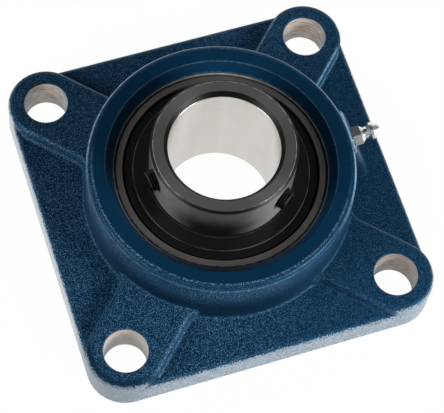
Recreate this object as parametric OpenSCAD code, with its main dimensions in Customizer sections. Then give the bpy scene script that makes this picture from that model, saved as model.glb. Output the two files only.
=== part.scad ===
// Four-bolt square flange bearing unit: a cast housing with a spherical seat, a self-aligning
// ball bearing insert with two set screws, and a grease nipple on a slanted pad.
// Millimetres. Origin: centre of the bore on the mounting face. +Z runs along the bore, away
// from the mounting face. The grease nipple is on the +X side.

/* [Flange] */
// width of the square flange across its sides
flange_w = 130; // [126:0.5:136]
// radius of the flange's corners, and distance of the bolt holes from its sides
corner_r = 14; // [13:0.25:15]
// diameter of the bolt holes
bolt_hole_d = 16; // [13:0.5:17]
// height of the corner pads and arms
pad_h = 16; // [15:0.25:18]
// height of the plate between the arms
plate_h = 11; // [9:0.25:12]
// rounding of the pads' and arms' top edges
arm_round = 2.2; // [1.5:0.1:2.5]
// rounding of the plate's top edges
plate_round = 2; // [1:0.1:2.5]
// fillet along the feet of the arms
arm_fillet = 1.4; // [0.8:0.1:2]
// plan fillet where an arm's side runs into the boss
arm_blend = 5.5; // [3:0.25:6.5]
// chamfer at both ends of the bolt holes
bolt_hole_chamfer = 0.5; // [0.2:0.1:1]

/* [Boss] */
// height of the boss above the mounting face
boss_h = 36; // [35.5:0.25:37]
// diameter of the boss at the plate
boss_foot_d = 98.6; // [97:0.2:100]
// diameter of the boss at its belt, where the draft of its wall changes
boss_belt_d = 98.2; // [97:0.2:98.4]
// height of that belt
boss_belt_h = 18; // [17.5:0.25:20]
// diameter of the boss where its top edge starts to round
boss_top_d = 97.2; // [96:0.2:98]
// rounding of the boss's top outer edge
boss_round = 2.2; // [1:0.1:3]
// fillet along the foot of the boss
boss_fillet = 1.2; // [0.8:0.1:2]
// width of the flat rim on top of the boss
rim_w = 4.7; // [4:0.1:5]
// height of the bearing's centre above the mounting face
centre_h = 21; // [20.5:0.25:21.5]

/* [Seat] */
// running clearance between the outer ring and its spherical seat
seat_gap = 0.04; // [0.02:0.01:0.08]
// diameter of the rear mouth
rear_mouth_d = 78.6; // [78:0.1:79.4]
// slope of the front mouth's wall from the bore axis, degrees
front_mouth_slope = 35; // [30:1:42]
// clearance of the loading slots around the turned insert
slot_gap = 0.3; // [0.2:0.05:0.6]
// width of the grease groove in the seat
groove_w = 3.4; // [2.4:0.2:3.6]
// depth of the grease groove
groove_depth = 0.8; // [0.5:0.1:1.2]
// tilt to each side that the insert can take, degrees
align_tilt = 2; // [1:0.5:2.5]

/* [Insert bearing] */
// shaft bore diameter
bore_d = 40; // [38:0.5:40.5]
// spherical outside diameter of the outer ring
insert_d = 80; // [79.6:0.1:80.2]
// width of the outer ring
outer_ring_w = 21; // [20.8:0.1:21.4]
// outside diameter of the inner ring
inner_ring_d = 52.4; // [51.8:0.1:52.8]
// length of the inner ring behind the bearing's centre
inner_rear = 19; // [18:0.25:19.5]
// length of the inner ring ahead of the bearing's centre
inner_front = 30.2; // [29:0.2:32]
// radial size of the front bore chamfer
bore_chamfer = 1.5; // [1:0.1:2]
// chamfer on the inner ring's other edges
ring_chamfer = 0.9; // [0.5:0.1:1]
// chamfer on the outer ring's outside edges
outer_chamfer = 1; // [0.6:0.1:1.2]
// diameter of the balls
ball_d = 11.906; // [11.5:0.1:12.1]
// pitch diameter of the ball row
pitch_d = 60; // [59.6:0.1:60.4]
// number of balls
ball_count = 9; // [9]
// race groove radius as a share of the ball diameter
race_conform = 0.52; // [0.515:0.005:0.53]
// clearance between a ball and each race
race_gap = 0.06; // [0.04:0.01:0.1]
// height of the outer ring's shoulder above the bottom of its race
shoulder_h = 2.2; // [1.8:0.1:2.4]
// diameter of the grease hole in the outer ring
ring_hole_d = 2.2; // [1.6:0.1:2.4]

/* [Cage] */
// thickness of the cage ribbon
cage_t = 0.9; // [0.7:0.05:1]
// radial clearance between the cage and the inner ring
cage_in_gap = 0.6; // [0.4:0.1:1.2]
// radial clearance between the cage and the outer ring's shoulder
cage_out_gap = 0.6; // [0.4:0.1:1.2]
// clearance of a ball in its pocket
cage_gap = 0.16; // [0.12:0.02:0.24]
// diameter of the cage rivets
rivet_d = 1.8; // [1.4:0.1:2]
// diameter of the rivet heads
rivet_head_d = 3; // [2.6:0.1:3.2]
// height of the rivet heads
rivet_head_h = 0.6; // [0.4:0.1:0.8]

/* [Seals and flingers] */
// diameter of the seal seat in the outer ring
seal_seat_d = 71.2; // [70.8:0.1:71.4]
// thickness of the seal plate
seal_plate_t = 0.8; // [0.6:0.1:0.9]
// clearance of the seal plate ahead of the cage
seal_gap = 0.4; // [0.3:0.05:0.5]
// height of the seal plate's rim
seal_rim_h = 1.2; // [1.1:0.1:1.4]
// running clearance between the seal lip and the inner ring
lip_gap = 0.1; // [0.05:0.01:0.2]
// radial width of the rubber lip
lip_w = 4.2; // [3.6:0.1:4.6]
// thickness of the rubber lip
lip_t = 1.5; // [1.3:0.1:1.6]
// thickness of the flinger sheet
flinger_t = 0.8; // [0.6:0.1:0.9]
// radial clearance between the flinger and the outer ring
flinger_gap = 1; // [0.6:0.1:1.2]
// radial width of the flinger's stepped-down rim
flinger_rim = 3; // [2.4:0.1:3.2]
// drop of the flinger's rim below its face
flinger_drop = 0.8; // [0.6:0.1:0.9]
// running clearance between the flinger's rim and the seal
flinger_clear = 0.3; // [0.2:0.05:0.4]

/* [Set screws] */
// thread diameter of the set screws
screw_d = 8; // [6:0.5:8]
// running clearance between a set screw and its hole
screw_gap = 0.03; // [0.02:0.01:0.06]
// distance of the set screws from the inner ring's front end
screw_inset = 8; // [7:0.25:9]
// length of a set screw
screw_l = 9; // [7:0.1:10]
// depth of a set screw's point outside the bore
point_sink = 0.3; // [0.2:0.05:0.5]
// size across flats of the hexagon socket
socket_af = 4; // [3:0.5:4.5]
// depth of the hexagon socket
socket_depth = 4; // [3:0.25:4.5]
// direction of the first set screw from +X, degrees
screw_angle = 185; // [0:1:359]
// angle between the two set screws, degrees
screw_spread = 120; // [60:1:120]

/* [Stop pin] */
// diameter of the stop pin
pin_d = 3; // [2.5:0.1:3.2]
// running clearance around the stop pin
pin_gap = 0.04; // [0.02:0.01:0.08]
// depth of the stop pin in the outer ring
pin_seat = 2; // [1.6:0.1:2.2]
// length of the stop pin that stands into the housing
pin_stand = 1.6; // [1.2:0.1:2]

/* [Grease nipple] */
// slant of the nipple from level, degrees
nipple_slant = 11; // [8:0.5:13]
// slant of the nipple pad's face from upright, degrees
nipple_pad_slant = 17; // [14:0.5:18]
// height of the nipple's axis on the pad's face
nipple_h = 28.5; // [28:0.1:29]
// distance of the pad's face from the bore axis at that height
nipple_reach = 50.6; // [50.2:0.1:51.5]
// width of the nipple pad
nipple_pad_w = 17.6; // [16:0.2:20]
// radius of the pad's upright edges
nipple_pad_round = 2; // [1.5:0.1:3]
// drop from the boss's rim to the pad's top
nipple_pad_drop = 0.8; // [0.6:0.1:1.2]
// diameter of the spot face under the nipple
spot_d = 9; // [8.6:0.1:9.6]
// depth of that spot face
spot_depth = 0.6; // [0.5:0.05:0.8]
// thread diameter of the nipple
nipple_thread_d = 6; // [5:0.5:6]
// length of the nipple's thread
nipple_thread_l = 5.5; // [4.5:0.25:6]
// size across flats of the nipple's hexagon
nipple_af = 7; // [7:0.5:8]
// length of the nipple's hexagon
nipple_hex_l = 3.25; // [3:0.25:4]
// angle at which the hexagon comes to rest when it is screwed in
nipple_turn = 22; // [0:1:59]
// length of the nipple outside the pad
nipple_l = 10.2; // [10:0.2:11]
// diameter of the nipple's coupler head
nipple_head_d = 6.5; // [6.2:0.1:6.8]
// diameter of the nipple's neck
nipple_neck_d = 4.6; // [4.5:0.1:5.2]
// diameter of the check ball
check_ball_d = 3; // [2.8:0.1:3.1]
// diameter of the nipple's mouth
mouth_d = 2.4; // [2:0.1:2.5]
// clearance of the check ball from its seat and bore
check_gap = 0.04; // [0.02:0.01:0.1]
// wire diameter of the spring behind the check ball
spring_wire = 0.4; // [0.3:0.05:0.5]
// number of turns of that spring
spring_turns = 7; // [5:1:9]
// diameter of the drilled grease passage
passage_d = 2; // [1.6:0.1:2.4]

/* [Hidden] */
$fn = 96;
eps = 0.01;
fillet_sink = 0.06;
over = 1;

// flange
half_w = flange_w / 2;
bolt_at = half_w - corner_r;
bolt_reach = bolt_at * sqrt(2);

// boss
foot_r = boss_foot_d / 2;
belt_r = boss_belt_d / 2;
wall_top_r = boss_top_d / 2;
wall_lean = (foot_r - belt_r) / (boss_belt_h - plate_h);
mouth_top_r = wall_top_r - rim_w - boss_round;
boss_core_r = mouth_top_r - 1;

// insert
sphere_r = insert_d / 2;
seat_r = sphere_r + seat_gap;
ring_front = centre_h + outer_ring_w / 2;
ring_rear = centre_h - outer_ring_w / 2;
inner_r = inner_ring_d / 2;
ball_r = ball_d / 2;
pitch_r = pitch_d / 2;
race_r = race_conform * ball_d;
outer_race_r = pitch_r + ball_r + race_gap;
inner_race_r = pitch_r - ball_r - race_gap;
shoulder_r = outer_race_r - shoulder_h;
seal_seat_r = seal_seat_d / 2;
ball_step = 360 / ball_count;

// cage, seals and flingers, as distances from the bearing's centre along the bore
pocket_r = ball_r + cage_gap;
cage_top = pocket_r + cage_t;
cage_in_r = inner_r + cage_in_gap;
cage_out_r = shoulder_r - cage_out_gap;
rivet_at = (cage_in_r + cage_out_r) / 2;
seal_at = cage_top + seal_gap;
flinger_face = seal_at + seal_rim_h + flinger_clear + flinger_drop + flinger_t;
flinger_r = seal_seat_r - flinger_gap;
step_r = flinger_r - flinger_rim;

// grease way
nipple_dir = [cos(nipple_slant), 0, sin(nipple_slant)];
grease_drop = (nipple_reach - sphere_r) * tan(nipple_slant);
grease_z = nipple_h - grease_drop;
check_seat = nipple_l - 1;
check_rest = check_seat - sqrt(pow(check_ball_d, 2) - pow(mouth_d, 2)) / 2 - check_gap;
chamber_d = check_ball_d + 4 * check_gap;
chamber_foot = -2;

painted_iron = [0.05, 0.13, 0.22];
ground_steel = [0.62, 0.60, 0.56];
black_steel = [0.10, 0.10, 0.11];
bright_steel = [0.75, 0.76, 0.78];
zinc = [0.68, 0.66, 0.58];
seal_rubber = [0.06, 0.06, 0.06];

// a slice of a round between two directions, for rounding a profile's corner
module pie(at, r, from, to) {
    mid = (from + to) / 2;
    far = r / cos((to - from) / 2) + over;
    translate(at)
        intersection() {
            circle(r);
            polygon([
                [0, 0],
                [2 * far * cos(from), 2 * far * sin(from)],
                [4 * far * cos(mid), 4 * far * sin(mid)],
                [2 * far * cos(to), 2 * far * sin(to)]
            ]);
        }
}

// what a hollow fillet leaves in the corner between a floor and an upright wall
module foot_corner(at, r) {
    c = r - fillet_sink;
    translate(at)
        difference() {
            translate([-over, -over])
                square(c + over);
            translate([c, c])
                circle(r);
        }
}

// turns a profile drawn as distance and height into a bar along X
module bar_along_x(l) {
    rotate([90, 0, 90])
        linear_extrude(l)
            children();
}

// moves to each corner of the flange, with X outward along the diagonal
module each_corner() {
    for (quarter = [0:3])
        rotate(45 + 90 * quarter)
            children();
}

// upright section with rounded top edges
module rounded_section(half, h, r) {
    translate([-half, 0])
        square([2 * half, h - r]);
    translate([-half + r, h - r - eps])
        square([2 * (half - r), r + eps]);
    for (side = [-1, 1])
        pie([side * (half - r), h - r], r, side > 0 ? 0 : 90, side > 0 ? 90 : 180);
}

module flange_outline() {
    difference() {
        square(flange_w, center = true);
        for (x = [-1, 1], y = [-1, 1])
            scale([x, y])
                translate([bolt_at, bolt_at])
                    square(corner_r + over);
    }
    for (x = [-1, 1], y = [-1, 1])
        translate([x * bolt_at, y * bolt_at])
            circle(corner_r);
}

module flange_plate() {
    intersection() {
        linear_extrude(plate_h)
            flange_outline();
        translate([-half_w - over, 0, 0])
            bar_along_x(flange_w + 2 * over)
                rounded_section(half_w, plate_h, plate_round);
        rotate(90)
            translate([-half_w - over, 0, 0])
                bar_along_x(flange_w + 2 * over)
                    rounded_section(half_w, plate_h, plate_round);
    }
}

// pad around one bolt hole and the arm from it to the boss
module arm() {
    translate([bolt_reach, 0, 0])
        rotate_extrude()
            intersection() {
                rounded_section(corner_r, pad_h, arm_round);
                square([corner_r + over, pad_h + over]);
            }
    translate([boss_core_r, 0, 0])
        bar_along_x(bolt_reach - boss_core_r)
            rounded_section(corner_r, pad_h, arm_round);
    translate([boss_core_r, 0, 0])
        bar_along_x(bolt_reach - boss_core_r)
            for (side = [0, 1])
                mirror([side, 0])
                    foot_corner([corner_r, plate_h], arm_fillet);
    intersection() {
        translate([bolt_reach, 0, 0])
            rotate_extrude()
                foot_corner([corner_r, plate_h], arm_fillet);
        rotate(-45)
            translate([0, 0, plate_h / 2])
                linear_extrude(pad_h)
                    difference() {
                        square(flange_w - 2 * plate_round - over, center = true);
                        translate([bolt_at, bolt_at])
                            square(corner_r);
                    }
    }
}

// rounded inside corner between an arm's side and the boss
module arm_blend_corner() {
    across = corner_r + arm_blend;
    reach = sqrt(pow(foot_r + arm_blend, 2) - pow(across, 2));
    share = foot_r / (foot_r + arm_blend);
    inside = corner_r - arm_round - over;
    difference() {
        linear_extrude(pad_h)
            polygon([
                [reach, inside],
                [reach, across],
                [reach * share, across * share],
                [boss_core_r - 2 * over, across * share],
                [boss_core_r - 2 * over, inside]
            ]);
        translate([reach, across, 0])
            rotate_extrude()
                difference() {
                    union() {
                        translate([0, plate_h])
                            square([arm_blend, pad_h]);
                        translate([0, pad_h - arm_round])
                            square([arm_blend + arm_round, arm_round + over]);
                    }
                    translate([arm_blend + arm_round, pad_h - arm_round])
                        circle(arm_round);
                    mirror([1, 0])
                        foot_corner([-arm_blend, plate_h], arm_fillet);
                }
    }
}

module boss_section() {
    round_z = boss_h - boss_round;
    round_at = wall_top_r - boss_round;
    polygon([
        [0, 0],
        [foot_r, 0],
        [foot_r, plate_h],
        [belt_r, boss_belt_h],
        [wall_top_r, round_z],
        [round_at, boss_h],
        [0, boss_h]
    ]);
    pie([round_at, round_z], boss_round, 0, 90);
}

// fillet around the boss where it stands on an arm's top, fading out at the arm's edges
module arm_top_fillet() {
    swell = 2 * boss_fillet;
    inset = 0.2;
    edge = corner_r - arm_round / 3;
    swell_r = (edge * edge + swell * swell) / (2 * swell);
    intersection() {
        rotate_extrude()
            union() {
                foot_corner([foot_r - (pad_h - plate_h) * wall_lean, pad_h], boss_fillet);
                translate([boss_core_r, pad_h - over])
                    square([foot_r - boss_core_r - inset, boss_fillet + over]);
            }
        translate([boss_core_r, 0, 0])
            bar_along_x(bolt_reach - boss_core_r)
                intersection() {
                    translate([0, pad_h + swell - swell_r])
                        circle(swell_r);
                    translate([-corner_r, pad_h - over])
                        square([2 * corner_r, swell + 2 * over]);
                }
    }
}

// cast pad for the nipple: a bar with rounded edges that leans on the boss, cut level at its top
module nipple_pad() {
    bevel = 1.2;
    slope = 4;
    top = boss_h - nipple_pad_drop;
    face = nipple_reach + spot_depth;
    edge = face - (top - nipple_h) * tan(nipple_pad_slant);
    depth = 2 * (nipple_reach - boss_core_r);
    intersection() {
        translate([face, 0, nipple_h])
            rotate([0, -nipple_pad_slant, 0])
                translate([0, 0, -nipple_h])
                    linear_extrude(2 * nipple_h)
                        translate([-depth, 0])
                            rotate(-90)
                                rounded_section(nipple_pad_w / 2, depth, nipple_pad_round);
        translate([0, half_w, 0])
            rotate([90, 0, 0])
                linear_extrude(flange_w)
                    polygon([
                        [boss_core_r, plate_h - over],
                        [half_w, plate_h - over],
                        [half_w, top - bevel - slope],
                        [edge + slope, top - bevel - slope],
                        [edge - bevel, top],
                        [boss_core_r, top]
                    ]);
    }
}

// puts what is drawn along +Z on the nipple's axis, with the pad's face at zero
module on_nipple() {
    translate([nipple_reach, 0, nipple_h])
        rotate([0, 90 - nipple_slant, 0])
            children();
}

module seat_cavity() {
    mouth_drop = 6;
    rear_drop = 8;
    inset = 3;
    groove_r = sqrt(pow(sphere_r, 2) - pow(grease_z - centre_h, 2)) + groove_depth;
    translate([0, 0, centre_h])
        sphere(seat_r);
    translate([0, 0, -over])
        cylinder(h = centre_h - rear_drop + over, r = rear_mouth_d / 2);
    translate([0, 0, boss_h - mouth_drop])
        cylinder(
            h = mouth_drop + over,
            r1 = mouth_top_r - mouth_drop * tan(front_mouth_slope),
            r2 = mouth_top_r + over * tan(front_mouth_slope)
        );
    rotate_extrude()
        translate([sphere_r - inset, grease_z - groove_w / 2])
            square([groove_r - sphere_r + inset, groove_w]);
}

module loading_slots() {
    w = outer_ring_w + 2 * slot_gap;
    reach = sphere_r + slot_gap;
    translate([-w / 2, -reach, -over])
        cube([w, 2 * reach, centre_h + over]);
}

module pin_slot() {
    swing = (sphere_r + pin_stand) * sin(align_tilt);
    slot_r = pin_d / 2 + pin_gap;
    depth = pin_stand + slot_gap;
    translate([-sphere_r - depth, 0, centre_h])
        rotate([0, 90, 0])
            linear_extrude(depth + 2 * over) {
                square([2 * swing, 2 * slot_r], center = true);
                for (end = [-1, 1])
                    translate([end * swing, 0])
                        circle(slot_r);
            }
}

module bolt_holes() {
    flare_d = bolt_hole_d + 4 * bolt_hole_chamfer;
    for (x = [-1, 1], y = [-1, 1])
        translate([x * bolt_at, y * bolt_at, 0]) {
            translate([0, 0, -over])
                cylinder(h = pad_h + 2 * over, d = bolt_hole_d);
            translate([0, 0, pad_h - bolt_hole_chamfer])
                cylinder(h = 2 * bolt_hole_chamfer, d1 = bolt_hole_d, d2 = flare_d);
            translate([0, 0, -bolt_hole_chamfer])
                cylinder(h = 2 * bolt_hole_chamfer, d1 = flare_d, d2 = bolt_hole_d);
        }
}

module housing() {
    passage_l = nipple_reach - sphere_r + 3 * over;
    color(painted_iron)
        difference() {
            union() {
                flange_plate();
                each_corner() {
                    arm();
                    arm_top_fillet();
                    arm_blend_corner();
                    mirror([0, 1, 0])
                        arm_blend_corner();
                }
                rotate_extrude()
                    boss_section();
                rotate_extrude()
                    foot_corner([foot_r, plate_h], boss_fillet);
                nipple_pad();
            }
            seat_cavity();
            loading_slots();
            pin_slot();
            bolt_holes();
            on_nipple() {
                translate([0, 0, -nipple_thread_l - over])
                    cylinder(h = nipple_thread_l + 2 * over, d = nipple_thread_d);
                cylinder(h = nipple_l, d = spot_d);
                translate([0, 0, -passage_l])
                    cylinder(h = passage_l - nipple_thread_l, d = passage_d);
            }
        }
}

module nipple_body() {
    cone_h = 1.2;
    head_band = 0.9;
    head_drop = 2.3;
    mouth_wall = 0.5;
    hex_top_r = nipple_af / 2 - 0.2;
    head_foot = check_seat - head_drop;
    neck_foot = nipple_hex_l + cone_h;
    color(zinc)
        on_nipple()
            difference() {
                union() {
                    translate([0, 0, -nipple_thread_l])
                        cylinder(h = nipple_thread_l + eps, d = nipple_thread_d);
                    rotate(nipple_turn)
                        cylinder(h = nipple_hex_l, d = nipple_af / cos(30), $fn = 6);
                    rotate_extrude()
                        polygon([
                            [0, nipple_hex_l - eps],
                            [hex_top_r, nipple_hex_l - eps],
                            [hex_top_r, nipple_hex_l],
                            [nipple_neck_d / 2, neck_foot],
                            [nipple_neck_d / 2, head_foot - cone_h],
                            [nipple_head_d / 2, head_foot],
                            [nipple_head_d / 2, head_foot + head_band],
                            [mouth_d / 2 + mouth_wall, nipple_l],
                            [0, nipple_l]
                        ]);
                }
                translate([0, 0, chamber_foot])
                    cylinder(h = check_seat - chamber_foot, d = chamber_d);
                translate([0, 0, check_seat - eps])
                    cylinder(h = nipple_l, d = mouth_d);
                translate([0, 0, -nipple_thread_l - over])
                    cylinder(h = nipple_thread_l + over, d = passage_d);
            }
}

module nipple_check_ball() {
    color(bright_steel)
        on_nipple()
            translate([0, 0, check_rest])
                sphere(d = check_ball_d);
}

// coil spring as a wire of eight sides swept round its turns
module nipple_spring() {
    sides = 8;
    steps = 14 * spring_turns;
    coil_r = (chamber_d - spring_wire) / 2 - 2 * check_gap;
    low = chamber_foot + spring_wire / 2;
    high = check_rest - sqrt(pow((check_ball_d + spring_wire) / 2, 2) - pow(coil_r, 2)) - check_gap;
    ring = [for (i = [0:steps]) for (j = [0:sides - 1])
        let (turn = 360 * spring_turns * i / steps, way = 360 * j / sides)
        let (out = coil_r + spring_wire / 2 * cos(way))
        [out * cos(turn), out * sin(turn), low + (high - low) * i / steps + spring_wire / 2 * sin(way)]];
    skin = [for (i = [0:steps - 1]) for (j = [0:sides - 1])
        let (k = (j + 1) % sides)
        [i * sides + j, i * sides + k, (i + 1) * sides + k, (i + 1) * sides + j]];
    first = [for (j = [0:sides - 1]) sides - 1 - j];
    last = [for (j = [0:sides - 1]) steps * sides + j];
    color(bright_steel)
        on_nipple()
            polyhedron(points = ring, faces = concat(skin, [first, last]), convexity = 10);
}

module stop_pin() {
    color(bright_steel)
        translate([-sphere_r - pin_stand, 0, centre_h])
            rotate([0, 90, 0])
                cylinder(h = pin_stand + pin_seat - pin_gap, d = pin_d);
}

module outer_ring() {
    inside = outer_ring_w / 2 - seal_at;
    edge_r = sqrt(pow(sphere_r, 2) - pow(outer_ring_w / 2, 2));
    color(ground_steel)
        difference() {
            intersection() {
                translate([0, 0, centre_h])
                    sphere(sphere_r);
                translate([0, 0, centre_h])
                    rotate_extrude()
                        polygon([
                            [0, -outer_ring_w / 2],
                            [edge_r - outer_chamfer, -outer_ring_w / 2],
                            [edge_r + outer_chamfer, -outer_ring_w / 2 + 2 * outer_chamfer],
                            [sphere_r + over, -outer_ring_w / 2 + 2 * outer_chamfer],
                            [sphere_r + over, outer_ring_w / 2 - 2 * outer_chamfer],
                            [edge_r + outer_chamfer, outer_ring_w / 2 - 2 * outer_chamfer],
                            [edge_r - outer_chamfer, outer_ring_w / 2],
                            [0, outer_ring_w / 2]
                        ]);
            }
            translate([0, 0, ring_rear - over])
                cylinder(h = outer_ring_w + 2 * over, r = shoulder_r);
            for (end = [0, 1])
                translate([0, 0, end == 0 ? ring_rear - over : ring_front - inside])
                    cylinder(h = inside + over, r = seal_seat_r);
            translate([0, 0, centre_h])
                rotate_extrude()
                    translate([outer_race_r - race_r, 0])
                        circle(race_r);
            for (way = [0, 180])
                rotate(way)
                    translate([shoulder_r - 2 * over, 0, grease_z])
                        rotate([0, 90, 0])
                            cylinder(h = sphere_r - shoulder_r + 3 * over, d = ring_hole_d);
            translate([-sphere_r - over, 0, centre_h])
                rotate([0, 90, 0])
                    cylinder(h = pin_seat + over, d = pin_d + 2 * pin_gap);
        }
}

// puts what is drawn from the bearing's centre on its front or rear side
module on_side(side) {
    translate([0, 0, centre_h])
        mirror([0, 0, side == "front" ? 0 : 1])
            children();
}

module seal_plate(side) {
    inner = inner_r + lip_gap + lip_w / 2;
    color(bright_steel)
        on_side(side)
            rotate_extrude() {
                translate([inner, seal_at])
                    square([seal_seat_r - inner, seal_plate_t]);
                translate([seal_seat_r - seal_plate_t, seal_at])
                    square([seal_plate_t, seal_rim_h]);
            }
}

module seal_lip(side) {
    bevel = 0.3;
    swell = 0.4;
    edge = 1.3;
    inner = inner_r + lip_gap;
    mid = inner + lip_w / 2;
    outer = inner + lip_w;
    back = seal_at - lip_gap;
    front = back + lip_t;
    face = seal_at + seal_plate_t;
    color(seal_rubber)
        on_side(side)
            rotate_extrude()
                polygon([
                    [inner + 3 * bevel, back],
                    [mid, back],
                    [mid, face],
                    [outer, face],
                    [outer - bevel, face + swell],
                    [inner + edge, front],
                    [inner, front],
                    [inner, front - bevel]
                ]);
}

module flinger(side) {
    collar_w = 0.8;
    collar_h = 0.5;
    slope = 0.3;
    bend = 0.2;
    back = flinger_face - flinger_t;
    color(black_steel)
        on_side(side)
            rotate_extrude()
                polygon([
                    [inner_r, back],
                    [step_r - slope, back],
                    [step_r, back - flinger_drop],
                    [flinger_r, back - flinger_drop],
                    [flinger_r, flinger_face - flinger_drop],
                    [step_r + slope + bend, flinger_face - flinger_drop],
                    [step_r + bend, flinger_face],
                    [inner_r + collar_w, flinger_face],
                    [inner_r + collar_w, flinger_face + collar_h],
                    [inner_r, flinger_face + collar_h]
                ]);
}

// puts what is drawn along +Z on a set screw's axis, starting from the bore's axis
module on_screw(which) {
    rotate(screw_angle + (which - 1) * screw_spread)
        translate([0, 0, centre_h + inner_front - screw_inset])
            rotate([0, 90, 0])
                children();
}

module inner_ring() {
    bore_r = bore_d / 2;
    front_chamfer_l = 1.3 * bore_chamfer;
    rear_chamfer_w = 0.8 * bore_chamfer;
    hole_mouth = 0.5;
    color(black_steel)
        difference() {
            translate([0, 0, centre_h])
                rotate_extrude()
                    difference() {
                        polygon([
                            [bore_r, -inner_rear + bore_chamfer],
                            [bore_r + rear_chamfer_w, -inner_rear],
                            [inner_r - ring_chamfer, -inner_rear],
                            [inner_r, -inner_rear + ring_chamfer],
                            [inner_r, inner_front - ring_chamfer],
                            [inner_r - ring_chamfer, inner_front],
                            [bore_r + bore_chamfer, inner_front],
                            [bore_r, inner_front - front_chamfer_l]
                        ]);
                        translate([inner_race_r + race_r, 0])
                            circle(race_r);
                    }
            for (which = [1, 2])
                on_screw(which) {
                    translate([0, 0, bore_r - 3 * over])
                        cylinder(h = inner_r - bore_r + 5 * over, d = screw_d + 2 * screw_gap);
                    translate([0, 0, inner_r - hole_mouth])
                        cylinder(h = 2 * over, d1 = screw_d, d2 = screw_d + 4 * over);
                }
        }
}

module set_screw(which) {
    point_h = 1.2;
    point_d = 0.62 * screw_d;
    edge = 0.4;
    tip = bore_d / 2 + point_sink;
    head = tip + screw_l;
    color(black_steel)
        on_screw(which)
            difference() {
                union() {
                    translate([0, 0, tip])
                        cylinder(h = point_h, d1 = point_d, d2 = screw_d);
                    translate([0, 0, tip + point_h - eps])
                        cylinder(h = screw_l - point_h - edge, d = screw_d);
                    translate([0, 0, head - edge - 2 * eps])
                        cylinder(h = edge + 2 * eps, d1 = screw_d, d2 = screw_d - 2 * edge);
                }
                translate([0, 0, head - socket_depth])
                    cylinder(h = socket_depth + over, d = socket_af / cos(30), $fn = 6);
            }
}

// the ribbon over the balls on the front side: lands between the pockets and a crown over each ball
module cage_half() {
    color(bright_steel)
        translate([0, 0, centre_h])
            difference() {
                intersection() {
                    union() {
                        cylinder(h = cage_t, r = cage_out_r);
                        for (i = [1:ball_count])
                            rotate(ball_step * i)
                                translate([pitch_r, 0, 0])
                                    sphere(cage_top);
                    }
                    difference() {
                        cylinder(h = cage_top + over, r = cage_out_r);
                        translate([0, 0, -over])
                            cylinder(h = cage_top + 3 * over, r = cage_in_r);
                    }
                }
                for (i = [1:ball_count])
                    rotate(ball_step * i)
                        translate([pitch_r, 0, 0])
                            sphere(pocket_r);
                for (i = [1:ball_count])
                    rotate(ball_step * (i + 0.5))
                        translate([rivet_at, 0, -over])
                            cylinder(h = cage_t + 2 * over, d = rivet_d);
            }
}

module cage_front_half() {
    cage_half();
}

module cage_rear_half() {
    translate([0, 0, 2 * centre_h])
        mirror([0, 0, 1])
            cage_half();
}

module cage_rivets() {
    tip_d = rivet_head_d - 0.8;
    color(bright_steel)
        for (i = [1:ball_count])
            rotate(ball_step * (i + 0.5))
                translate([rivet_at, 0, centre_h]) {
                    cylinder(h = 2 * cage_t + eps, d = rivet_d, center = true);
                    translate([0, 0, cage_t])
                        cylinder(h = rivet_head_h, d1 = rivet_head_d, d2 = tip_d);
                    translate([0, 0, -cage_t - rivet_head_h])
                        cylinder(h = rivet_head_h, d1 = tip_d, d2 = rivet_head_d);
                }
}

module ball(which) {
    color(bright_steel)
        rotate(ball_step * which)
            translate([pitch_r, 0, centre_h])
                sphere(ball_r);
}

housing();
nipple_body();
nipple_spring();
nipple_check_ball();
stop_pin();
outer_ring();
seal_plate("front");  // front_seal_plate
seal_lip("front");  // front_seal_lip
seal_plate("rear");  // rear_seal_plate
seal_lip("rear");  // rear_seal_lip
inner_ring();
flinger("front");  // front_flinger
flinger("rear");  // rear_flinger
set_screw(1);  // set_screw_1
set_screw(2);  // set_screw_2
cage_front_half();
cage_rear_half();
cage_rivets();
ball(1);  // ball_1
ball(2);  // ball_2
ball(3);  // ball_3
ball(4);  // ball_4
ball(5);  // ball_5
ball(6);  // ball_6
ball(7);  // ball_7
ball(8);  // ball_8
ball(9);  // ball_9
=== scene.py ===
import math

import bmesh
import bpy
from mathutils import Matrix, Vector


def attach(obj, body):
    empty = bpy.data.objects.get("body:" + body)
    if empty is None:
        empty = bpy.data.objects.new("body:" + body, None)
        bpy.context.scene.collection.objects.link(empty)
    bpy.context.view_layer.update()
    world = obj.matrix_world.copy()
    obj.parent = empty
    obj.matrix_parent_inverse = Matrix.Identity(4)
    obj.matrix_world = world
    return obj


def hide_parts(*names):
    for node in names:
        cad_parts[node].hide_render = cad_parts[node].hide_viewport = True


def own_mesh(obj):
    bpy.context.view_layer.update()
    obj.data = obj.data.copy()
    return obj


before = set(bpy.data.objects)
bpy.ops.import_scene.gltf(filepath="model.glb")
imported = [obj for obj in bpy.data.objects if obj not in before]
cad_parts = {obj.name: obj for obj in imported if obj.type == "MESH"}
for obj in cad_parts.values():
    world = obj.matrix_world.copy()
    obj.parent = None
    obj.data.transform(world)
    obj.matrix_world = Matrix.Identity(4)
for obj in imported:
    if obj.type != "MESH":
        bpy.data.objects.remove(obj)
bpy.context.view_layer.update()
scene = bpy.context.scene
scene.view_settings.view_transform = "Standard"

# Sizes of the part, in millimetres of its own frame
BOLT_PLACE, BOLT_HOLE_R = 51.0, 8.0
PLATE_TOP, ARM_TOP, BOSS_TOP, RING_TOP = 11.0, 16.0, 36.0, 51.2
NIPPLE_PLACE, NIPPLE_SLANT = Vector((50.6, 0, 28.5)), math.radians(11)
SCREW_HEIGHT, SCREW_ANGLES = 43.2, {"set_screw_1": 185, "set_screw_2": 305}
# Level direction that runs to the far side of the flange, as the photograph shows it
FAR_X, FAR_Y = 0.44, 0.90
DIAGONAL = 0.7071


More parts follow.
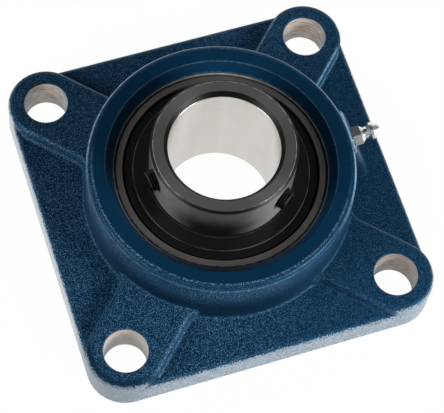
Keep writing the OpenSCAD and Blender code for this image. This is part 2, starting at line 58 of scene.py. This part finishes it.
class Value:
    """A number that varies over a surface: operators on it add Math nodes."""

    def __init__(self, finish, socket):
        self.finish, self.socket = finish, socket

    def math(self, operation, *others):
        return self.finish.math(operation, self, *others)

    def __add__(self, other): return self.math("ADD", other)
    def __radd__(self, other): return self.math("ADD", other)
    def __sub__(self, other): return self.math("SUBTRACT", other)
    def __rsub__(self, other): return self.finish.math("SUBTRACT", other, self)
    def __mul__(self, other): return self.math("MULTIPLY", other)
    def __rmul__(self, other): return self.math("MULTIPLY", other)
    def __abs__(self): return self.math("ABSOLUTE")

    def floor_at(self, other): return self.math("MAXIMUM", other)
    def cap_at(self, other): return self.math("MINIMUM", other)
    def root(self): return self.math("SQRT")
    def sine(self): return self.math("SINE")

    def step(self, low, high):
        """0 under low and 1 over high, with a smooth rise between; low may be the larger one."""
        turned = low > high
        if turned:
            low, high = high, low
        rise = self.finish.node("ShaderNodeMapRange", {"interpolation_type": "SMOOTHSTEP"},
                                {"Value": self, "From Min": low, "From Max": high})
        return 1 - rise if turned else rise


class Finish:
    """The nodes of one procedural material, or of the world, in millimetres of the part's own frame."""

    def __init__(self, owner):
        self.owner = owner
        owner.use_nodes = True
        self.tree = owner.node_tree
        self.tree.nodes.clear()

    def node(self, kind, settings=None, sockets=None, out=0):
        made = self.tree.nodes.new(kind)
        for key, setting in (settings or {}).items():
            setattr(made, key, setting)
        for key, given in (sockets or {}).items():
            socket = made.inputs[key]
            if isinstance(given, Value):
                self.tree.links.new(given.socket, socket)
            elif isinstance(given, tuple) and socket.type == "RGBA":
                socket.default_value = (*given, 1.0)
            else:
                socket.default_value = given
        return Value(self, made.outputs[out]) if made.outputs else None

    def math(self, operation, *values):
        return self.node("ShaderNodeMath", {"operation": operation}, dict(enumerate(values)))

    def millimetres(self):
        place = self.node("ShaderNodeTexCoord", out="Object")
        return self.node("ShaderNodeVectorMath", {"operation": "SCALE"}, {0: place, "Scale": 1000.0})

    def axes(self, vector):
        return [self.node("ShaderNodeSeparateXYZ", None, {"Vector": vector}, out) for out in range(3)]

    def vector(self, x, y, z):
        return self.node("ShaderNodeCombineXYZ", None, {"X": x, "Y": y, "Z": z})

    def noise(self, at, size, detail=2.0, rough=0.5):
        """Noise from 0 to 1 whose grains are about size millimetres across."""
        return self.node("ShaderNodeTexNoise", {"noise_dimensions": "3D"},
                         {"Vector": at, "Scale": 1.0 / size, "Detail": detail, "Roughness": rough})

    def blend(self, share, first, second):
        """Colour that goes from first to second with share."""
        return self.node("ShaderNodeMix", {"data_type": "RGBA"}, {0: share, 6: first, 7: second}, 2)

    def mix(self, share, first, second):
        """Number that goes from first to second with share."""
        return self.node("ShaderNodeMix", {"data_type": "FLOAT"}, {0: share, 2: first, 3: second})

    def bump(self, height, depth, strength=1.0):
        """Normal from a height of 0 to 1 that stands for depth millimetres."""
        return self.node("ShaderNodeBump", None,
                         {"Height": height, "Distance": depth / 1000.0, "Strength": strength})

    def surface(self, sockets):
        shader = self.node("ShaderNodeBsdfPrincipled", None, sockets)
        self.node("ShaderNodeOutputMaterial", None, {"Surface": shader})
        return self.owner


def finish(name):
    return Finish(bpy.data.materials.new(name))


def length(x, y):
    return (x * x + y * y).root()


def to_far_side(x, y):
    return x * FAR_X + y * FAR_Y


def to_right_side(x, y):
    return x * FAR_Y - y * FAR_X


def near_middle(x, y):
    """The stretch of the rings that faces the photograph's near side."""
    return abs(to_right_side(x, y)).step(17.0, 5.0) * to_far_side(x, y).step(0.0, -10.0)


def enamelled_iron():
    """Dark blue enamel over sand-cast iron, with bare metal where the casting was machined."""
    f = finish("enamelled_iron")
    mm = f.millimetres()
    x, y, z = f.axes(mm)
    plate_z, arm_z, boss_z = z - PLATE_TOP, z - ARM_TOP, z - BOSS_TOP
    radius = length(x, y)
    hole_x, hole_y = abs(x) - BOLT_PLACE, abs(y) - BOLT_PLACE
    hole = length(hole_x, hole_y)
    outline = length(hole_x.floor_at(0.0), hole_y.floor_at(0.0))
    along = (abs(x) + abs(y)) * DIAGONAL
    flank = abs(abs(x) - abs(y)) * DIAGONAL
    away = to_far_side(x, y)
    ragged = f.noise(mm, 1.6, 3.0) - 0.5

    # machined places
    drilled = (hole + ragged * 0.1).step(BOLT_HOLE_R + 0.07, BOLT_HOLE_R + 0.02)
    seat = radius.step(41.0, 40.8) * z.step(31.9, 31.7)
    face = z.step(0.12, 0.05)
    bare = drilled.floor_at(seat).floor_at(face)
    turned = boss_z.step(-0.8, -0.2) * (radius + ragged * 1.2).step(46.6, 46.2)
    mouth = radius.step(42.4, 42.0) * z.step(31.5, 31.8)
    smooth = turned.floor_at(mouth)
    crown = boss_z.step(-3.0, -1.4) * (1 - smooth)

    # grain of the casting
    grit = f.noise(mm, 0.37, 2.0, 0.6)
    swell = f.noise(mm, 7.0, 2.0)
    coarse = f.mix(away.step(-25.0, 50.0), 1.0, 0.6)
    coarse = coarse * f.mix(to_right_side(x, y).step(5.0, 50.0), 1.0, 0.5)
    side = (outline + ragged * 0.8 + (grit - 0.5) * 2.0).step(13.25, 13.75)
    cast_height = grit * coarse * (1 - smooth * 0.88) * (1 - crown * 0.4) + swell * 0.4
    tool = f.noise(f.vector(x * 0.4, y * 0.4, z * 1.6), 1.5, 4.0, 0.65)
    height = f.mix(bare, cast_height, tool * 0.14)

    # enamel, with painted shade in the pits and painted highlights on the grains
    tone = f.noise(mm, 9.0, 3.0)
    enamel = f.blend(tone, (0.0026, 0.0295, 0.072), (0.0042, 0.0365, 0.089))
    # the smooth turned top and mouth are a darker enamel, and the far side gets painted shade
    smooth_tone_and_far_shade = (smooth * 0.24).floor_at(away.step(-45.0, 25.0) * 0.2)
    enamel = f.blend(smooth_tone_and_far_shade, enamel, (0.0005, 0.0040, 0.0060))
    pit = grit.step(0.50, 0.38) * coarse * (1 - smooth)
    enamel = f.blend(pit * 0.9, enamel, (0.0004, 0.005, 0.014))
    # painted highlights on the crests of the grains
    crest = grit.step(0.55, 0.63) * coarse * (1 - smooth) * (1 - crown * 0.6)
    enamel = f.blend(crest * 0.9, enamel, (0.115, 0.245, 0.400))
    # painted shade at the foot of the boss and along the near pads' rims
    foot_end = f.mix(flank.step(15.0, 17.0), arm_z.step(0.2, 1.4), plate_z.step(0.6, 2.0))
    foot = z.step(31.0, 20.0) * radius.step(57.0, 53.5) * foot_end
    lip = outline.step(10.6, 12.4) * z.step(13.0, 13.6) * away.step(-38.0, -56.0)
    shade = (foot * f.mix(away.step(-30.0, -46.0), 0.55, 0.85) + lip * 0.8).cap_at(1.0)
    enamel = f.blend(shade, enamel, (0.0006, 0.009, 0.024))

    # painted highlights along the edges of the boss and arms, stronger on the far side and left out on the
    # left and near arm edges
    far = away.step(-25.0, 5.0)
    crown_line = boss_z.step(-1.9, -1.6) * boss_z.step(-0.4, -0.7) * radius.step(47.6, 47.9) * far
    rim_line = radius.step(46.0, 46.3) * radius.step(47.1, 46.7) * boss_z.step(-0.7, -0.4) * (1 - far)
    brow_line = boss_z.step(-2.8, -2.4) * boss_z.step(-1.3, -1.7) * radius.step(47.6, 47.9) * (1 - far)
    all_arms = flank.step(18.0, 17.0) * radius.step(52.0, 54.0)
    unlit_left = (x - y).step(-3.0, -8.0) * y.step(-15.0, -25.0)
    unlit_near = (x + y).step(-3.0, -8.0) * x.step(15.0, 25.0)
    arms = all_arms * along.step(76.0, 73.0) * (1 - unlit_left) * (1 - unlit_near * 0.7)
    hard = away.step(8.0, 22.0)
    arm_line = arm_z.step(-1.1, -0.8) * arm_z.step(-0.2, -0.4) * arms
    arm_foot = plate_z.step(0.25, 0.4) * plate_z.step(1.1, 0.9) * arms
    boss_lines = crown_line + rim_line * 0.8 + brow_line * 0.6
    arm_lines = arm_line * f.mix(hard, 0.42, 0.65) + arm_foot * 0.4
    whole = far * f.mix(arms, 1.0, hard)
    speck = f.mix(whole, grit.step(0.46, 0.60), 0.35 + grit.step(0.40, 0.58) * 0.65)
    highlight_lines = (boss_lines + arm_lines).cap_at(1.0) * speck * f.noise(mm, 2.4, 3.0).step(0.28, 0.50)
    enamel = f.blend(highlight_lines * f.mix(far, 0.75, 0.95), enamel, (0.22, 0.39, 0.55))
    # painted highlights along the mouth's top and bottom edges on the far side
    rim_edge = (radius + ragged * 0.4).step(41.4, 41.6) * radius.step(42.1, 41.9) * boss_z.step(-0.6, -0.3)
    mouth_edge = (z + ragged * 1.2).step(32.6, 32.2) * mouth
    rim_highlight = rim_edge.floor_at(mouth_edge) * grit.step(0.42, 0.58) * away.step(-22.0, 5.0)
    enamel = f.blend(rim_highlight * 0.8, enamel, (0.075, 0.130, 0.180))

    # side walls of the flange painted pale as a painted reflection of the white table, with painted shade
    # at the near-left corner and painted light along the left side; and small chips
    side_reflection = f.blend(grit.step(0.40, 0.58), (0.020, 0.050, 0.090), (0.34, 0.425, 0.495))
    side_reflection = f.blend((x + y).step(-109.0, -118.0) * 0.45, side_reflection, (0.060, 0.095, 0.130))
    side_reflection = f.blend(x.step(-60.0, -64.0) * y.step(-45.0, -30.0) * 0.6, side_reflection, (0.58, 0.62, 0.65))
    enamel = f.blend(side, enamel, side_reflection)
    chip = f.noise(mm, 2.0, 4.0, 0.65).step(0.735, 0.755) * (1 - smooth)
    enamel = f.blend(chip * 0.6, enamel, (0.22, 0.23, 0.23))

    # bare iron, browner in the right-hand near hole and paler in the left-hand one
    iron = f.blend(tool.step(0.30, 0.66), (0.36, 0.278, 0.22), (0.744, 0.626, 0.53))
    iron = f.blend(x.step(0.0, 10.0) * y.step(0.0, -10.0) * 0.4, iron, (0.31, 0.195, 0.12))
    iron = f.blend(x.step(0.0, -10.0) * y.step(0.0, -10.0) * 0.65, iron, (0.65, 0.535, 0.445))
    colour = f.blend(bare, enamel, iron)
    dull = unlit_left * all_arms * plate_z.step(0.2, 0.8) * arm_z.step(0.0, -0.3)
    roughness = f.mix(bare, f.mix(smooth, 0.42 - crown * 0.14 + dull * 0.40, 0.34), 0.46)
    return f.surface({"Base Color": colour, "Metallic": bare * 0.45, "Roughness": roughness,
                      "Specular IOR Level": 0.24, "Specular Tint": (0.20, 0.65, 1.0),
                      "Coat Weight": side * (1 - bare) * 0.5, "Coat Roughness": 0.35, "Coat IOR": 1.9,
                      "Normal": f.bump(height, 0.17)})


def black_oxide_ring():
    """Turned steel with a black oxide skin outside and a bright ground bore."""
    f = finish("black_oxide_ring")
    mm = f.millimetres()
    x, y, z = f.axes(mm)
    ring_z = z - RING_TOP
    radius = length(x, y)
    bore = radius.step(20.12, 20.04)
    race = z.step(14.5, 15.0) * z.step(27.5, 27.0) * radius.step(26.15, 25.9)
    bright = bore.floor_at(race)
    flat = ring_z.step(-0.08, -0.02)
    edge = radius.step(25.25, 25.40) * ring_z.step(-1.05, -0.85) * (1 - flat)
    mouth = radius.step(21.6, 21.4) * ring_z.step(-2.2, -1.8) * (1 - flat) * (1 - bore)
    chamfer_shade = edge.floor_at(mouth)
    turning = (radius * 16.0 + z * 16.0 + f.noise(mm, 1.5, 2.0) * 2.0).sine() * 0.5 + 0.5
    cloud = f.noise(mm, 5.0, 4.0)
    nearest = near_middle(x, y)
    skin = f.blend(cloud, (0.150, 0.149, 0.147), (0.210, 0.208, 0.204))
    # painted shade on the near middle of the neck
    skin = f.blend(nearest * ring_z.step(-5.2, -14.7) * 0.85, skin, (0.012, 0.012, 0.011))
    skin = f.blend(flat, skin, f.blend(cloud, (0.092, 0.091, 0.087), (0.120, 0.118, 0.113)))
    # the outer and bore chamfers painted dark, as painted shade
    skin = f.blend(chamfer_shade, skin, (0.035, 0.035, 0.035))
    glint = radius.step(25.05, 25.2) * flat * f.noise(mm, 3.0, 3.0).step(0.35, 0.65) * (1 - nearest)
    skin = f.blend(glint, skin, (0.45, 0.445, 0.44))
    streak = f.noise(f.vector(x, y, z * 0.10), 9.0, 2.0)
    ground = f.blend(streak, (0.58, 0.55, 0.515), (0.74, 0.71, 0.675))
    colour = f.blend(bright, skin, ground)
    rough = f.mix(bright, 0.46 + cloud * 0.10, 0.20 + cloud * 0.10)
    return f.surface({"Base Color": colour, "Metallic": f.mix(bright, f.mix(flat, 1.0, 0.45), 1.0),
                      "Roughness": rough, "Anisotropic": 0.75, "Anisotropic Rotation": 0.25,
                      "Normal": f.bump(turning, 0.010, 0.5)})


def ground_ring():
    """Ground bearing steel with fine lines round the shaft."""
    f = finish("ground_ring")
    mm = f.millimetres()
    x, y, z = f.axes(mm)
    radius = length(x, y)
    lines = (radius * 30.0 + z * 22.0 + f.noise(mm, 2.0, 2.0) * 3.0).sine() * 0.5 + 0.5
    cloud = f.noise(mm, 7.0, 3.0)
    colour = f.blend(cloud, (0.34, 0.32, 0.305), (0.45, 0.43, 0.41))
    overspray = (radius + (f.noise(mm, 1.8, 3.0) - 0.5) * 0.8).step(37.6, 37.9) * z.step(28.0, 29.0)
    colour = f.blend(overspray, colour, (0.010, 0.032, 0.056))
    return f.surface({"Base Color": colour, "Metallic": 0.9 - overspray * 0.8,
                      "Roughness": 0.36 + cloud * 0.1, "Normal": f.bump(lines, 0.008, 0.6)})


def black_sheet():
    """Satin black coating on pressed sheet, with painted highlight lines along the bends."""
    f = finish("black_sheet")
    mm = f.millimetres()
    x, y, z = f.axes(mm)
    radius = length(x, y)
    peel = f.noise(mm, 0.5, 2.0)
    lines = (radius * 9.0).sine() * 0.5 + 0.5
    step_edge = radius.step(31.55, 31.7) * radius.step(32.0, 31.85)
    rim_edge = radius.step(34.35, 34.5)
    collar_edge = radius.step(26.75, 26.85) * radius.step(27.12, 27.02)
    # painted highlight lines along the step, rim and collar, fainter at the near middle
    highlight_lines = step_edge * (1 - near_middle(x, y) * 0.6) + rim_edge * 0.12 + collar_edge * 0.2
    highlight_lines = highlight_lines * f.noise(mm, 5.0, 3.0).step(0.2, 0.7)
    colour = f.blend(f.noise(mm, 6.0, 3.0), (0.0022, 0.0022, 0.0026), (0.0050, 0.0050, 0.0056))
    colour = f.blend(highlight_lines, colour, (0.11, 0.108, 0.105))
    return f.surface({"Base Color": colour, "Roughness": 0.36 + peel * 0.12, "Specular IOR Level": 0.4,
                      "Normal": f.bump(peel * 0.6 + lines * 0.4, 0.02, 0.5)})


def black_screw():
    """Black oxide on a hardened screw, with a cloudy tone."""
    f = finish("black_screw")
    mm = f.millimetres()
    cloud = f.noise(mm, 1.2, 4.0, 0.6)
    colour = f.blend(cloud, (0.016, 0.016, 0.017), (0.055, 0.054, 0.052))
    return f.surface({"Base Color": colour, "Metallic": 1.0, "Roughness": 0.34 + cloud * 0.16,
                     "Normal": f.bump(cloud, 0.02, 0.5)})


def zinc_plate():
    """Bright zinc plating with a faint yellow cast."""
    f = finish("zinc_plate")
    mm = f.millimetres()
    cloud = f.noise(mm, 1.5, 3.0)
    colour = f.blend(cloud, (0.72, 0.735, 0.69), (0.93, 0.935, 0.91))
    return f.surface({"Base Color": colour, "Metallic": 1.0, "Roughness": 0.26 + cloud * 0.12,
                     "Normal": f.bump(f.noise(mm, 0.4, 2.0), 0.01, 0.5)})


def pressed_steel():
    """Cold-rolled sheet, pressed to shape, with painted shade along the seals' rims."""
    f = finish("pressed_steel")
    mm = f.millimetres()
    cloud = f.noise(mm, 2.5, 4.0, 0.6)
    x, y, z = f.axes(mm)
    colour = f.blend(cloud, (0.46, 0.465, 0.475), (0.62, 0.625, 0.635))
    # painted shade along the seals' rims, in the gap at the outer ring
    colour = f.blend(length(x, y).step(34.0, 34.5), colour, (0.006, 0.006, 0.006))
    return f.surface({"Base Color": colour, "Metallic": 1.0, "Roughness": 0.30 + cloud * 0.15,
                     "Normal": f.bump(f.noise(mm, 0.3, 3.0), 0.012, 0.6)})


def polished_ball():
    """Lapped bearing steel under a thin film of grease."""
    f = finish("polished_ball")
    mm = f.millimetres()
    film = f.noise(mm, 2.0, 3.0).step(0.45, 0.7)
    colour = f.blend(film, (0.78, 0.785, 0.80), (0.66, 0.64, 0.58))
    return f.surface({"Base Color": colour, "Metallic": 1.0, "Roughness": 0.06 + film * 0.14,
                     "Normal": f.bump(film, 0.01, 0.4)})


def drawn_wire():
    """Drawn spring wire."""
    f = finish("drawn_wire")
    mm = f.millimetres()
    cloud = f.noise(mm, 0.5, 3.0)
    colour = f.blend(cloud, (0.42, 0.42, 0.43), (0.60, 0.60, 0.61))
    return f.surface({"Base Color": colour, "Metallic": 1.0, "Roughness": 0.25 + cloud * 0.15,
                     "Normal": f.bump(cloud, 0.01, 0.4)})


def seal_rubber():
    """Moulded nitrile rubber."""
    f = finish("seal_rubber")
    mm = f.millimetres()
    bloom = f.noise(mm, 3.0, 4.0, 0.6)
    colour = f.blend(bloom, (0.010, 0.010, 0.010), (0.024, 0.024, 0.024))
    return f.surface({"Base Color": colour, "Roughness": 0.55 + bloom * 0.2,
                     "Normal": f.bump(f.noise(mm, 0.35, 2.0), 0.02, 0.6)})


def dress(nodes, material):
    for name in nodes:
        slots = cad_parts[name].material_slots
        for slot in slots:
            slot.link = "OBJECT"
            slot.material = material


balls = [f"ball_{n}" for n in range(1, 10)]
dress(["housing"], enamelled_iron())
dress(["inner_ring"], black_oxide_ring())
dress(["outer_ring", "stop_pin"], ground_ring())
dress(["front_flinger", "rear_flinger"], black_sheet())
screw_black = black_screw()
dress(["set_screw_1", "set_screw_2"], screw_black)
dress(["nipple_body"], zinc_plate())
dress(["front_seal_plate", "rear_seal_plate", "cage_front_half", "cage_rear_half", "cage_rivets"],
      pressed_steel())
dress(balls + ["nipple_check_ball"], polished_ball())
spring_wire = drawn_wire()
dress(["nipple_spring"], spring_wire)
dress(["front_seal_lip", "rear_seal_lip"], seal_rubber())


def new_piece(shape, place, name, material):
    """Piece from a bmesh drawn in millimetres, moved to its place in the part's frame."""
    bmesh.ops.transform(shape, matrix=Matrix.Scale(0.001, 4) @ place, verts=shape.verts)
    bmesh.ops.recalc_face_normals(shape, faces=shape.faces)
    mesh = bpy.data.meshes.new(name)
    shape.to_mesh(mesh)
    shape.free()
    mesh.polygons.foreach_set("use_smooth", [True] * len(mesh.polygons))
    mesh.set_sharp_from_angle(angle=math.radians(32))
    mesh.materials.append(material)
    piece = bpy.data.objects.new(name, mesh)
    scene.collection.objects.link(piece)
    return piece


def threaded_screw(node, angle):
    """Set screw with its real thread, a coned point and a hexagon socket, in the place of the plain one."""
    pitch, crest, root = 1.0, 4.0, 3.42
    tip, head, point_h, point_r, edge = 20.3, 29.3, 1.2, 2.48, 0.4
    socket_r, socket_depth = 2.0 / math.cos(math.radians(30)), 4.0
    around = 32
    turns = round((head - tip) / pitch) + 3
    start = tip - 1.5 * pitch
    flank = ((root, 0.0), (crest, 0.38), (crest, 0.50), (root, 0.88), (root, 1.0))
    bolt = bmesh.new()
    points = [bolt.verts.new((r, 0.0, start + share * pitch)) for r, share in flank]
    lines = [bolt.edges.new(pair) for pair in zip(points, points[1:])]
    bmesh.ops.spin(bolt, geom=points + lines, cent=(0, 0, 0), axis=(0, 0, 1),
                   dvec=(0, 0, pitch / around), angle=2 * math.pi * turns, steps=around * turns,
                   use_merge=False, use_duplicate=False)
    bmesh.ops.remove_doubles(bolt, verts=bolt.verts, dist=0.001)
    for level, way in ((tip, -1), (head, 1)):
        bmesh.ops.bisect_plane(bolt, geom=bolt.verts[:] + bolt.edges[:] + bolt.faces[:], dist=0.0001,
                               plane_co=(0, 0, level), plane_no=(0, 0, way), clear_outer=True)
    for vert in bolt.verts:
        cone = point_r + (crest - point_r) * (vert.co.z - tip) / point_h
        limit = min(cone, crest - edge + head - vert.co.z)
        out = math.hypot(vert.co.x, vert.co.y)
        if out > limit:
            vert.co.x, vert.co.y = vert.co.x * limit / out, vert.co.y * limit / out
    rims = {level: [e for e in bolt.edges if e.is_boundary and abs(e.verts[0].co.z - level) < 0.01
                    and abs(e.verts[1].co.z - level) < 0.01] for level in (tip, head)}
    bmesh.ops.holes_fill(bolt, edges=rims[tip], sides=0)
    made = bmesh.ops.create_circle(bolt, segments=6, radius=socket_r,
                                   matrix=Matrix.Translation((0, 0, head)))
    hexagon = list({e for v in made["verts"] for e in v.link_edges})
    bmesh.ops.bridge_loops(bolt, edges=rims[head] + hexagon)
    wall = bmesh.ops.extrude_edge_only(bolt, edges=hexagon)["geom"]
    foot = [g for g in wall if isinstance(g, bmesh.types.BMVert)]
    bmesh.ops.translate(bolt, vec=(0, 0, -socket_depth), verts=foot)
    bmesh.ops.contextual_create(bolt, geom=foot)
    place = (Matrix.Translation((0, 0, SCREW_HEIGHT)) @ Matrix.Rotation(math.radians(angle), 4, "Z")
             @ Matrix.Rotation(math.radians(90), 4, "Y"))
    screw = new_piece(bolt, place, node + "_thread", screw_black)
    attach(screw, node)
    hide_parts(node)


def coil_spring():
    """Round wire on seven turns behind the nipple's check ball."""
    wire_r, coil_r, turns, around = 0.2, 1.3, 7, 24
    foot, low, high, give = -2.0, -1.8, 7.12, 1.05
    coil = bmesh.new()
    wire_end = Matrix.Translation((coil_r, 0, low)) @ Matrix.Rotation(math.radians(90), 4, "X")
    made = bmesh.ops.create_circle(coil, segments=10, radius=wire_r, matrix=wire_end)
    rim = list({e for v in made["verts"] for e in v.link_edges})
    bmesh.ops.spin(coil, geom=made["verts"] + rim, cent=(0, 0, 0), axis=(0, 0, 1),
                   dvec=(0, 0, (high - low) / (turns * around)), angle=2 * math.pi * turns,
                   steps=turns * around, use_merge=False, use_duplicate=False)
    bmesh.ops.holes_fill(coil, edges=[e for e in coil.edges if e.is_boundary], sides=0)
    place = Matrix.Translation(NIPPLE_PLACE) @ Matrix.Rotation(math.pi / 2 - NIPPLE_SLANT, 4, "Y")
    spring = new_piece(coil, place, "nipple_spring_coil", spring_wire)
    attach(spring, "housing")
    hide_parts("nipple_spring")
    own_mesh(spring)


for screw_node, screw_angle in SCREW_ANGLES.items():
    threaded_screw(screw_node, screw_angle)
coil_spring()


def camera():
    """Camera at the photograph's place: turned, tilted and rolled about a point over the bore."""
    turn, tilt, roll = math.radians(-25.994), math.radians(65.56), math.radians(8.717)
    back = Vector((math.sin(turn) * math.cos(tilt), -math.cos(turn) * math.cos(tilt), math.sin(tilt)))
    right = Vector((math.cos(turn), math.sin(turn), 0.0))
    up = back.cross(right)
    across = right * math.cos(roll) + up * math.sin(roll)
    above = up * math.cos(roll) - right * math.sin(roll)
    place = Vector((0, 0, 0.020)) + back * 0.723682 + across * 0.000973 - above * 0.00871
    data = bpy.data.cameras.new("camera")
    data.sensor_fit = "HORIZONTAL"
    data.sensor_width = 36.0
    data.lens = 1985.677 * 36.0 / 444.0
    data.clip_start = 0.01
    made = bpy.data.objects.new("camera", data)
    made.matrix_world = Matrix.Translation(place) @ Matrix((across, above, back)).transposed().to_4x4()
    scene.collection.objects.link(made)
    scene.camera = made


def lamp(name, place, size, power, aim=(0, 0, 0.02)):
    data = bpy.data.lights.new(name, "AREA")
    data.shape = "RECTANGLE"
    data.size, data.size_y = size
    data.energy = power
    made = bpy.data.objects.new(name, data)
    made.location = place
    made.rotation_euler = (Vector(aim) - Vector(place)).to_track_quat("-Z", "Y").to_euler()
    scene.collection.objects.link(made)


def floor():
    """White table that goes dark far out on the camera's side, with the part's shadow on it."""
    f = finish("white_table")
    x, y, z = f.axes(f.millimetres())
    white_part = to_far_side(x, y).step(-420.0, -220.0)
    rays = ("Is Camera Ray", "Is Glossy Ray", "Is Transmission Ray")
    camera_ray, mirror_ray, glass_ray = [f.node("ShaderNodeLightPath", None, None, ray) for ray in rays]
    seen = camera_ray.floor_at(glass_ray).floor_at(mirror_ray * white_part)
    paper = f.blend(white_part, (0.12, 0.12, 0.12), (0.86, 0.86, 0.86))
    lit = f.node("ShaderNodeBsdfDiffuse", None, {"Color": paper})
    white = f.node("ShaderNodeEmission", None, {"Color": (1.0, 1.0, 1.0), "Strength": 1.0})
    shadow = length(x, y).step(92.0, 70.0) * 0.02
    shown = f.node("ShaderNodeMixShader", None, {0: seen * (1 - shadow), 1: lit, 2: white})
    f.node("ShaderNodeOutputMaterial", None, {"Surface": shown})
    mesh = bpy.data.meshes.new("white_table")
    sheet = bmesh.new()
    bmesh.ops.create_grid(sheet, x_segments=1, y_segments=1, size=6.0)
    bmesh.ops.translate(sheet, vec=(0, 0, -0.0002), verts=sheet.verts)
    sheet.to_mesh(mesh)
    sheet.free()
    mesh.materials.append(f.owner)
    table = bpy.data.objects.new("white_table", mesh)
    scene.collection.objects.link(table)


def studio():
    """White walls low down except behind the camera, darkness overhead, and soft boxes at both sides."""
    f = Finish(bpy.data.worlds.new("studio"))
    scene.world = f.owner
    x, y, z = f.axes(f.node("ShaderNodeTexCoord", out="Generated"))
    dark = to_far_side(x, y).step(-0.40, -0.90)
    glow = f.mix(z.step(0.10, 0.62), 0.75, 0.03) * (1 - dark * 0.93)
    sky = f.node("ShaderNodeBackground", None, {"Color": (0.96, 0.98, 1.0), "Strength": glow})
    f.node("ShaderNodeOutputWorld", None, {"Surface": sky})
    lamp("left_softbox", (-0.86, -0.10, 0.50), (0.5, 0.4), 6.2)
    lamp("right_softbox", (0.68, -0.72, 0.46), (0.5, 0.4), 13.5)
    lamp("front_softbox", (-0.32, -0.60, 1.10), (0.6, 0.5), 1.0)
    lamp("back_softbox", (0.45, 1.05, 0.42), (0.9, 0.3), 2.0)


camera()
floor()
studio()
